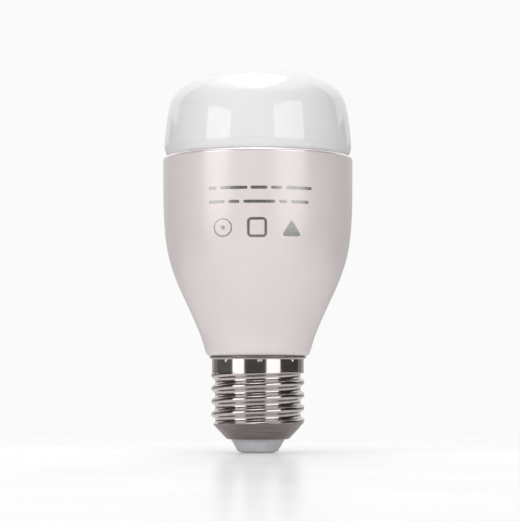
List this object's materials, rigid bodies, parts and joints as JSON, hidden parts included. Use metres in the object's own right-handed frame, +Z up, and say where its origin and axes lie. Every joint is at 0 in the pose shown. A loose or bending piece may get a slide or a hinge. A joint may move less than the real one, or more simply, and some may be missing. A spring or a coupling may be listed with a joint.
{
  "type": "smart light bulb",
  "caption": "Smart light bulb: glossy opal dome on a tapered pearl housing with a nickel Edison screw cap, driver board, LED ring and wireless module inside.",
  "frame": {"origin": "centre of the centre contact's face, the lowest point, on the bulb's axis", "axes": "+Z up along the bulb's axis from the screw cap to the dome, -Y to the front, +X to the right"},
  "size_m": [0.0537, 0.0536, 0.1095],
  "materials": {
    "opal_diffuser": "glossy opal",
    "silicone": "satin",
    "pearl_paint": "satin pearl paint",
    "marking_ink": "thin silver-grey print on the housing, drawn by the visual model only",
    "nickel_plate": "polished nickel",
    "insulator_plastic": "smooth, slightly translucent",
    "contact_metal": "nickel plated",
    "casing_plastic": "fine moulded texture",
    "sheet_aluminium": "drawn satin",
    "thermal_compound": "matte",
    "white_solder_mask": "satin white mask",
    "led_plastic": "satin",
    "warm_phosphor": "translucent gel",
    "cool_phosphor": "translucent gel",
    "zinc_steel": "zinc plated",
    "connector_plastic": "smooth",
    "gold_plate": "gold plated",
    "black_plastic": "fine moulded texture",
    "green_board": "satin solder mask",
    "can_aluminium": "drawn",
    "brown_sleeve": "shrunk sleeve",
    "navy_sleeve": "shrunk sleeve",
    "yellow_case": "moulded case",
    "blue_ceramic": "dipped epoxy",
    "green_ceramic": "dipped epoxy",
    "ferrite": "sintered matte",
    "copper_wire": "enamelled",
    "yellow_tape": "polyester tape",
    "chip_resistor": "glazed",
    "chip_capacitor": "matte",
    "tinned_wire": "tinned",
    "solder": "bright solder",
    "blue_board": "satin solder mask",
    "shield_steel": "tinned sheet",
    "red_insulation": "extruded",
    "blue_insulation": "extruded"
  },
  "bodies": {
    "root": {"diffuser_dome": "opal_diffuser", "dome_sealant": "silicone", "housing_shell": "pearl_paint", "screw_cap_shell": "nickel_plate", "cap_insulator": "insulator_plastic", "centre_contact": "contact_metal", "driver_casing": "casing_plastic", "heat_sink_cup": "sheet_aluminium", "heat_spreader": "sheet_aluminium", "thermal_pad": "thermal_compound", "led_board": "white_solder_mask", "led_packages": "led_plastic", "warm_phosphor": "warm_phosphor", "cool_phosphor": "cool_phosphor", "led_board_screws": "zinc_steel", "board_socket": "connector_plastic", "board_pins": "gold_plate", "pin_strip": "black_plastic", "driver_board": "green_board", "input_capacitor": "can_aluminium", "input_capacitor_sleeve": "brown_sleeve", "output_capacitor": "can_aluminium", "output_capacitor_sleeve": "navy_sleeve", "supply_capacitor": "navy_sleeve", "film_capacitor": "yellow_case", "safety_capacitor": "blue_ceramic", "varistor": "blue_ceramic", "fusible_resistor": "green_ceramic", "line_inductor_core": "ferrite", "line_inductor_winding": "copper_wire", "transformer_core": "ferrite", "transformer_bobbin": "black_plastic", "transformer_winding": "yellow_tape", "bridge_rectifier": "black_plastic", "driver_chips": "black_plastic", "diodes": "black_plastic", "chip_resistors": "chip_resistor", "chip_capacitors": "chip_capacitor", "component_leads": "tinned_wire", "solder_joints": "solder", "wireless_board": "blue_board", "wireless_shield": "shield_steel", "wireless_antenna": "gold_plate", "wireless_header": "black_plastic", "live_wire": "red_insulation", "neutral_wire": "blue_insulation"}
  },
  "joints": []
}
